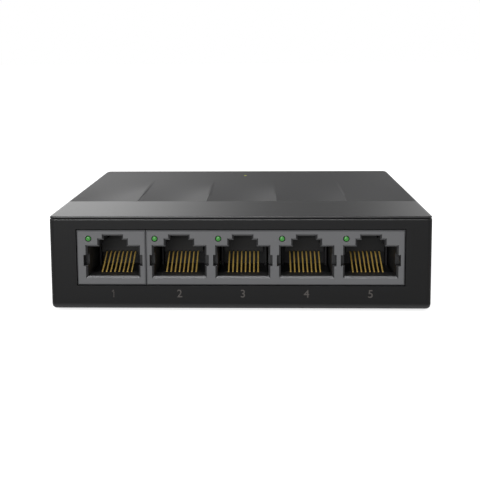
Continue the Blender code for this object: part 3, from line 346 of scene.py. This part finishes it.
def board_laminate():
    """Green solder mask over copper tracks."""
    made, tree, shader, grain = new_material(
        "board laminate", GRAIN, Grain_Scale=2500.0, Grain_Depth=0.004 * MM
    )
    place = new_node(tree, "ShaderNodeTexCoord")
    tracks = new_node(tree, "ShaderNodeTexBrick", Scale=420.0, Mortar_Size=0.05)
    tracks.inputs["Color1"].default_value = (0.0, 0.0, 0.0, 1.0)
    tracks.inputs["Color2"].default_value = (0.2, 0.2, 0.2, 1.0)
    tracks.inputs["Mortar"].default_value = (1.0, 1.0, 1.0, 1.0)
    link(tree, place.outputs["Object"], tracks.inputs["Vector"])
    shade(tree, tracks.outputs["Fac"], (0.008, 0.06, 0.022), (0.02, 0.13, 0.045),
          shader.inputs["Base Color"])
    vary(tree, grain.outputs["Unevenness"], 0.3, 0.42, shader.inputs["Roughness"])
    return made


def lamp_lens(name, dark, light, glow):
    """Tinted clear plastic with a little light of its own."""
    made, tree, shader, grain = new_material(
        name, GRAIN, Grain_Scale=2500.0, Grain_Depth=0.001 * MM, Edge_Radius=0.02 * MM
    )
    shade(tree, grain.outputs["Unevenness"], dark, light, shader.inputs["Base Color"])
    shade(tree, grain.outputs["Unevenness"], dark, light, shader.inputs["Emission Color"])
    shader.inputs["Emission Strength"].default_value = glow
    vary(tree, grain.outputs["Unevenness"], 0.15, 0.25, shader.inputs["Roughness"])
    return made


CASE = case_plastic()
COVER = cover_plastic()
JACK = jack_plastic()
CARRIER = plastic("carrier plastic", (0.008, 0.008, 0.0085), (0.013, 0.013, 0.0135), 0.5, 0.25)
INLET = plastic("inlet plastic", (0.012, 0.012, 0.012), (0.018, 0.018, 0.018), 0.4)
RESIN = plastic("chip resin", (0.012, 0.012, 0.012), (0.02, 0.02, 0.02), 0.55)
FERRITE = plastic("ferrite", (0.03, 0.03, 0.033), (0.045, 0.045, 0.048), 0.6)
RUBBER = plastic("foot rubber", (0.02, 0.02, 0.02), (0.03, 0.03, 0.03), 0.8, 0.3, 2500.0, 0.02)
SLEEVE = plastic("capacitor sleeve", (0.02, 0.02, 0.05), (0.03, 0.03, 0.07), 0.3)
LAMP = plastic("lamp resin", (0.7, 0.68, 0.5), (0.8, 0.78, 0.6), 0.3)
GOLD = metal("contact gold", (0.9, 0.6, 0.13), (1.0, 0.72, 0.22), 0.42, solid=0.5)
STEEL = metal("screw steel", (0.42, 0.42, 0.43), (0.55, 0.55, 0.56), 0.32)
CAN = metal("crystal can", (0.6, 0.6, 0.6), (0.7, 0.7, 0.7), 0.25)
BOARD = board_laminate()
GREEN_LENS = lamp_lens("green lens", (0.02, 0.16, 0.02), (0.05, 0.24, 0.04), 0.15)
PIPE = plastic("light pipe plastic", (0.25, 0.3, 0.24), (0.32, 0.38, 0.3), 0.2)
POWER_LENS = lamp_lens("power lens", (0.25, 0.3, 0.03), (0.35, 0.4, 0.06), 0.5)
# The digits' lighter, brownish colour is a painted highlight on raised black plastic
DIGIT = plastic("digit plastic", (0.052, 0.046, 0.042), (0.066, 0.059, 0.054), 0.5, edge=0.03)

FINISHES = [
    ("bottom_shell", CASE), ("top_cover", COVER), ("foot_", RUBBER), ("case_screw", STEEL),
    ("board_screw", STEEL), ("inlet_pin", STEEL), ("circuit_board", BOARD),
    ("switch_chip", RESIN), ("regulator", RESIN), ("transformer", RESIN), ("crystal", CAN),
    ("power_inductor", FERRITE), ("input_capacitor", SLEEVE), ("output_capacitor", SLEEVE),
    ("status_lamp", LAMP), ("power_lamp", LAMP), ("light_pipe", PIPE),
    ("power_light_pipe", POWER_LENS), ("jack_housing", JACK), ("contact_carrier", CARRIER),
    ("contact_springs", GOLD), ("inlet_leaf", GOLD), ("inlet_terminal", GOLD),
    ("inlet_housing", INLET),
]


def finish_nodes():
    """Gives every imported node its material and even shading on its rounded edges."""
    for name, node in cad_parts.items():
        finish = next(m for prefix, m in FINISHES if name.startswith(prefix))
        node.data.materials.clear()
        node.data.materials.append(finish)
        shading = node.modifiers.new("rounded shading", "NODES")
        shading.node_group = ROUNDED
        node.modifiers.new("flat faces stay flat", "WEIGHTED_NORMAL").keep_sharp = True


def rounded_shading():
    """Geometry nodes: smooth faces, with edges over 40 degrees kept sharp."""
    tree = bpy.data.node_groups.new("rounded shading", "GeometryNodeTree")
    tree.interface.new_socket(name="Geometry", in_out="INPUT", socket_type="NodeSocketGeometry")
    tree.interface.new_socket(name="Geometry", in_out="OUTPUT", socket_type="NodeSocketGeometry")
    given, out = tree.nodes.new("NodeGroupInput"), tree.nodes.new("NodeGroupOutput")
    smooth = new_node(tree, "GeometryNodeSetShadeSmooth", domain="FACE")
    sharp = new_node(tree, "GeometryNodeSetShadeSmooth", domain="EDGE")
    sharp.inputs["Shade Smooth"].default_value = False
    angle = new_node(tree, "GeometryNodeInputMeshEdgeAngle")
    wide = new_node(tree, "FunctionNodeCompare", data_type="FLOAT", operation="GREATER_THAN")
    wide.inputs[1].default_value = math.radians(40.0)
    link(tree, given.outputs[0], smooth.inputs["Geometry"])
    link(tree, smooth.outputs[0], sharp.inputs["Geometry"])
    link(tree, angle.outputs["Unsigned Angle"], wide.inputs[0])
    link(tree, wide.outputs["Result"], sharp.inputs["Selection"])
    link(tree, sharp.outputs[0], out.inputs[0])
    return tree


ROUNDED = rounded_shading()


# Finer pieces ----------------------------------------------------------------------


def add_mesh(name, points, faces, finish, smooth=True):
    """A mesh object from points in millimetres."""
    mesh = bpy.data.meshes.new(name)
    mesh.from_pydata([(x * MM, y * MM, z * MM) for x, y, z in points], [], faces)
    mesh.validate()
    mesh.polygons.foreach_set("use_smooth", [smooth] * len(mesh.polygons))
    mesh.materials.append(finish)
    made = bpy.data.objects.new(name, mesh)
    bpy.context.scene.collection.objects.link(made)
    return made


def spread(low, high, count):
    """Evenly spaced values from low to high, count steps apart."""
    return [low + (high - low) * i / count for i in range(count + 1)]


def carried(piece, body):
    """Lets a piece ride on a body."""
    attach(piece, body)


def cover_columns():
    """(x, pleat) for each column of the cover's top, with a steep step between pleats."""
    columns = []
    for pleat in range(PLEATS):
        left = -HALF_WIDTH + PLEAT_WIDTH * pleat
        low = left + (COVER_SIDE if pleat == 0 else STEP_REACH)
        high = left + PLEAT_WIDTH - (COVER_SIDE if pleat == PLEATS - 1 else STEP_REACH)
        xs = spread(low, high, 26)
        if pleat == 0:
            xs[1:1] = [low + 0.2, low + 0.4]
        if pleat == PLEATS - 1:
            xs[-1:-1] = [high - 0.4, high - 0.2]
        columns += [(x, pleat) for x in xs]
    return columns


def cover_rows():
    """Each row of the cover's top from front to back, closer together at rims and crease."""
    return (
        [-35.85, -35.6, -35.3, -34.9] + spread(-34.0, -18.0, 8) + [-17.1]
        + [CREASE + step for step in (-0.18, -GROOVE_REACH, 0.0, GROOVE_REACH, 0.18)]
        + spread(CREASE + 0.5, PLEAT_END, 26) + spread(24.0, 34.0, 5) + [34.9, 35.3, 35.6, 35.85]
    )


def cover_dip(x, y, pleat):
    """How far the cover's top lies below its flat level."""
    groove = GROOVE_DEPTH * max(0.0, 1.0 - abs(y - CREASE) / GROOVE_REACH)
    if y < CREASE or y > PLEAT_END:
        return groove
    along = (y - CREASE) / (PLEAT_END - CREASE)
    across = (x + HALF_WIDTH - PLEAT_WIDTH * pleat) / PLEAT_WIDTH
    dip = PLEAT_DEPTH * (0.5 + 0.5 * math.cos(math.pi * along)) * (1.0 - across ** 2)
    if pleat == 0:
        edge = min(across / 0.4, 1.0)
        dip *= edge * edge * (3.0 - 2.0 * edge)
    return max(dip, groove)


def rim_point(x, y, side, end):
    """The point of the cover's outline nearest to (x, y), moved in by side or end."""
    cx = max(-HALF_WIDTH + CORNER, min(HALF_WIDTH - CORNER, x))
    cy = max(-HALF_DEPTH + CORNER, min(HALF_DEPTH - CORNER, y))
    dx, dy = x - cx, y - cy
    length = math.hypot(dx, dy)
    dx, dy = dx / length, dy / length
    reach = CORNER - side * dx * dx - end * dy * dy
    return cx + dx * reach, cy + dy * reach, abs(dx)


def cover_top(columns, rows):
    """The points of the cover's top, drawn in at the four rounded corners."""
    points = []
    for y in rows:
        for x, pleat in columns:
            px, py = x, y
            if abs(x) > HALF_WIDTH - CORNER and abs(y) > HALF_DEPTH - CORNER:
                cx = math.copysign(HALF_WIDTH - CORNER, x)
                cy = math.copysign(HALF_DEPTH - CORNER, y)
                rx, ry, _ = rim_point(x, y, COVER_SIDE, COVER_END)
                if math.hypot(x - cx, y - cy) > math.hypot(rx - cx, ry - cy):
                    px, py = rx, ry
            points.append((px, py, TOP - cover_dip(x, y, pleat)))
    return points


def grid_edge(wide, deep):
    """The numbers of the points round a grid."""
    return (
        list(range(wide)) + [row * wide + wide - 1 for row in range(1, deep)]
        + [(deep - 1) * wide + column for column in range(wide - 2, -1, -1)]
        + [row * wide for row in range(deep - 2, 0, -1)]
    )


def rounded_ring(edge, turn):
    """The cover's edge, turned from its flat top towards its upright side."""
    inset, drop = 1.0 - math.sin(turn), 1.0 - math.cos(turn)
    ring = []
    for x, y, z in edge:
        rx, ry, sideways = rim_point(x, y, COVER_SIDE * inset, COVER_END * inset)
        fall = COVER_SIDE_DROP * sideways + COVER_END * (1.0 - sideways)
        ring.append((rx, ry, z - drop * fall))
    return ring


def level_ring(edge, inset, level):
    """The cover's outline, moved in by inset, at one level."""
    ring = []
    for x, y, _ in edge:
        rx, ry, _ = rim_point(x, y, 0.0, 0.0)
        rx = max(-HALF_WIDTH + inset, min(HALF_WIDTH - inset, rx))
        ry = max(-HALF_DEPTH + inset, min(HALF_DEPTH - inset, ry))
        ring.append((rx, ry, level))
    return ring


def make_cover():
    """The cover with smooth pleats, a crease groove, a rounded rim, flange and lip."""
    columns, rows = cover_columns(), cover_rows()
    wide, deep = len(columns), len(rows)
    points = cover_top(columns, rows)
    faces = []
    for row in range(deep - 1):
        for column in range(wide - 1):
            a = row * wide + column
            faces.append((a, a + 1, a + wide + 1, a + wide))
    previous = grid_edge(wide, deep)
    edge = [points[index] for index in previous]
    rings = [rounded_ring(edge, math.radians(turn)) for turn in (30.0, 60.0, 90.0)]
    rings += [level_ring(edge, inset, level) for inset, level in COVER_UNDERSIDE]
    for ring in rings:
        added = [len(points) + i for i in range(len(ring))]
        points += ring
        for i in range(len(ring)):
            j = (i + 1) % len(ring)
            faces.append((previous[i], added[i], added[j], previous[j]))
        previous = added
    faces.append(tuple(previous))
    cover = add_mesh("cover", points, faces, COVER)
    cover.modifiers.new("rounded shading", "NODES").node_group = ROUNDED
    carried(cover, "case")
    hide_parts("top_cover")


def bent_wire(x, hinge_y, hinge_z):
    """One contact wire: round its front bend, up its slope and into the comb slot."""
    rise, run, bend = 3.75, 6.6, 0.24
    slope = math.atan2(rise, run)
    line = []
    for turn in spread(-40.0, -(270.0 - math.degrees(slope)), 16):
        turn = math.radians(turn)
        line.append((bend * math.cos(turn), bend * math.sin(turn)))
    line += [(0.8, 0.56), (2.2, 1.26), (run * 0.6, rise * 0.6), (run * 0.82, rise * 0.82)]
    line += [(run * 0.9, rise * 0.88), (run, rise * 0.85 + run * 0.15 * math.tan(slope / 2))]
    return [(x, hinge_y + y, hinge_z + z) for y, z in line]


def add_wires(name, lines, radius, finish):
    """Round wires along lines of points, as one curve object with closed ends."""
    data = bpy.data.curves.new(name, "CURVE")
    data.dimensions = "3D"
    data.bevel_depth = radius * MM
    data.bevel_resolution = 4
    data.use_fill_caps = True
    for line in lines:
        spline = data.splines.new("POLY")
        spline.points.add(len(line) - 1)
        for point, (x, y, z) in zip(spline.points, line):
            point.co = (x * MM, y * MM, z * MM, 1.0)
        spline.use_smooth = True
    data.materials.append(finish)
    made = bpy.data.objects.new(name, data)
    bpy.context.scene.collection.objects.link(made)
    return made


def make_contact_wires():
    """Eight gold wires in each port, which swing as one with the port's contacts."""
    for number, port in enumerate(PORTS, start=1):
        lines = [
            bent_wire(port + (i - (WIRES - 1) / 2) * WIRE_PITCH, WIRE_HINGE_Y, WIRE_HINGE_Z)
            for i in range(WIRES)
        ]
        wires = add_wires("contact_wires_%d" % number, lines, WIRE_RADIUS, GOLD)
        carried(wires, "port_%d_contacts" % number)
        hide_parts("contact_springs_%d" % number)


def make_dome(name, place, toward, radius, height, finish):
    """A shallow round lens that bulges along toward."""
    points, faces, around = [], [], 32
    for ring in range(7):
        angle = math.radians(90.0) * ring / 6
        for i in range(around):
            turn = 2.0 * math.pi * i / around
            points.append((radius * math.cos(angle) * math.cos(turn),
                           radius * math.cos(angle) * math.sin(turn),
                           height * math.sin(angle)))
    for ring in range(6):
        for i in range(around):
            j = (i + 1) % around
            a, b = ring * around, (ring + 1) * around
            faces.append((a + i, a + j, b + j, b + i))
    faces.append(tuple(reversed(range(around))))
    turned = Vector(toward).to_track_quat("Z", "Y")
    points = [tuple(turned @ Vector(p) + Vector(place)) for p in points]
    return add_mesh(name, points, faces, finish)


def make_lenses():
    """A green dome on each port's light pipe and a small one for the power lamp."""
    for number, port in enumerate(PORTS, start=1):
        place = (port - LENS_LEFT, JACK_FACE + 0.02, LENS_HEIGHT)
        lens = make_dome("lens_%d" % number, place, (0, -1, 0), 0.58, 0.25, GREEN_LENS)
        carried(lens, "case")
    place = (0.0, POWER_LENS_BACK, TOP)
    lens = make_dome("power_lens", place, (0, 0, 1), 0.45, 0.12, POWER_LENS)
    carried(lens, "case")


def make_digits():
    """The port numbers, raised a little from the front face under each port."""
    flagged = [(-0.34, 0.50), (0.06, 0.88), (0.06, -0.88)]
    stroke = [(PORTS[0] + x, -35.98, DIGIT_HEIGHT + 0.05 + z) for x, z in flagged]
    carried(add_wires("port_number_1", [stroke], 0.12, DIGIT), "case")
    for number, port in list(enumerate(PORTS, start=1))[1:]:
        data = bpy.data.curves.new("port_number_%d" % number, "FONT")
        data.body = str(number)
        data.size = DIGIT_SIZE * MM
        data.align_x, data.align_y = "CENTER", "CENTER"
        data.extrude, data.bevel_depth = 0.03 * MM, 0.02 * MM
        data.materials.append(DIGIT)
        digit = bpy.data.objects.new("port_number_%d" % number, data)
        bpy.context.scene.collection.objects.link(digit)
        digit.location = (port * MM, -36.03 * MM, DIGIT_HEIGHT * MM)
        digit.rotation_euler = Euler((math.radians(90.0), 0.0, 0.0))
        carried(digit, "case")


# Studio ----------------------------------------------------------------------------


def floor_white():
    """Matt white that shows the camera some light of its own and still takes shadows."""
    made = bpy.data.materials.new("floor")
    made.use_nodes = True
    tree = made.node_tree
    shader = tree.nodes["Principled BSDF"]
    shader.inputs["Base Color"].default_value = (0.85, 0.85, 0.85, 1.0)
    shader.inputs["Roughness"].default_value = 1.0
    shader.inputs["Specular IOR Level"].default_value = 0.0
    shader.inputs["Emission Color"].default_value = (1.0, 1.0, 1.0, 1.0)
    seen = new_node(tree, "ShaderNodeLightPath").outputs["Is Camera Ray"]
    link(tree, calculate(tree, "MULTIPLY", seen, 0.7), shader.inputs["Emission Strength"])
    return made


def make_floor():
    """A plain white floor that keeps the object's shadow."""
    corners = [(-FLOOR_REACH, -FLOOR_REACH, 0), (FLOOR_REACH, -FLOOR_REACH, 0),
               (FLOOR_REACH, FLOOR_REACH, 0), (-FLOOR_REACH, FLOOR_REACH, 0)]
    add_mesh("floor", corners, [(0, 1, 2, 3)], floor_white(), smooth=False)


def ramp(tree, value, stops):
    """A grey ramp over 0 to 1 from (place, level) stops."""
    node = new_node(tree, "ShaderNodeValToRGB")
    node.color_ramp.interpolation = "B_SPLINE"
    elements = node.color_ramp.elements
    while len(elements) < len(stops):
        elements.new(0.5)
    for element, (place, level) in zip(elements, stops):
        element.position = place
        element.color = (level, level, level, 1.0)
    link(tree, value, node.inputs["Fac"])
    return node.outputs["Color"]


def reflected_studio(tree, direction):
    """What glossy surfaces see: a wall lit from the left, a soft box overhead, dim elsewhere."""
    x, y, z = axes_of(tree, direction)
    turn = calculate(tree, "ARCTAN2", x, y)
    along = stretch(tree, turn, math.radians(-30.0), math.radians(20.0))
    wall = calculate(tree, "MULTIPLY", ramp(tree, along, WALL_LEVELS), 2.0)
    height = stretch(tree, z, 0.3, 0.75, interpolation_type="SMOOTHSTEP")
    behind = stretch(tree, y, -0.1, 0.35, interpolation_type="SMOOTHSTEP")
    around = blend(tree, behind, FRONT_LEVEL, blend(tree, height, wall, CEILING_LEVEL))
    aim = new_node(tree, "ShaderNodeVectorMath", operation="DOT_PRODUCT")
    link(tree, direction, aim.inputs[0])
    aim.inputs[1].default_value = Vector((-0.09, -0.2, 0.97)).normalized()
    box = stretch(
        tree, aim.outputs["Value"], math.cos(math.radians(16.0)), math.cos(math.radians(5.0)),
        0.0, SOFT_BOX_LEVEL, interpolation_type="SMOOTHSTEP",
    )
    return calculate(tree, "ADD", around, box)


def make_world():
    """White to the camera; a soft even dome, a little stronger from the left, as light."""
    world = bpy.data.worlds.new("studio")
    world.use_nodes = True
    bpy.context.scene.world = world
    tree = world.node_tree
    background = tree.nodes["Background"]
    rays = new_node(tree, "ShaderNodeLightPath").outputs
    direction = new_node(tree, "ShaderNodeTexCoord").outputs["Generated"]
    dome = stretch(tree, axes_of(tree, direction)[0], -1.0, 1.0, DOME_LEFT, DOME_RIGHT)
    light = blend(tree, rays["Is Glossy Ray"], dome, reflected_studio(tree, direction))
    plain = calculate(tree, "MAXIMUM", rays["Is Camera Ray"], rays["Is Transmission Ray"])
    link(tree, blend(tree, plain, light, 1.0), background.inputs["Strength"])
    background.inputs["Color"].default_value = (1.0, 1.0, 1.0, 1.0)


def make_front_light():
    """A large soft light in front, a little to the left, that reaches into the ports."""
    data = bpy.data.lights.new("front light", "AREA")
    data.shape, data.size = "SQUARE", 0.5
    data.energy = 5.0
    lamp = bpy.data.objects.new("front light", data)
    bpy.context.scene.collection.objects.link(lamp)
    lamp.location = (-0.22, -0.95, 0.3)
    toward = Vector((0.0, 0.0, 0.012)) - lamp.location
    lamp.rotation_euler = toward.to_track_quat("-Z", "Y").to_euler()


def make_camera():
    """A camera close in front, looking down a little, turned slightly to the left."""
    data = bpy.data.cameras.new("camera")
    data.lens, data.sensor_width = 60.0, 36.0
    data.shift_y = -0.2
    data.clip_start, data.clip_end = 0.01, 20.0
    camera = bpy.data.objects.new("camera", data)
    bpy.context.scene.collection.objects.link(camera)
    camera.location = (5.66 * MM, -219.6 * MM, 60.9 * MM)
    tilt, roll, pan = 90.0 - 6.49, 0.37, 1.652
    camera.rotation_euler = Euler((math.radians(tilt), math.radians(roll), math.radians(pan)))
    bpy.context.scene.camera = camera


finish_nodes()
make_cover()
make_contact_wires()
make_lenses()
make_digits()
make_floor()
make_world()
make_front_light()
make_camera()
bpy.context.scene.view_settings.view_transform = "Standard"
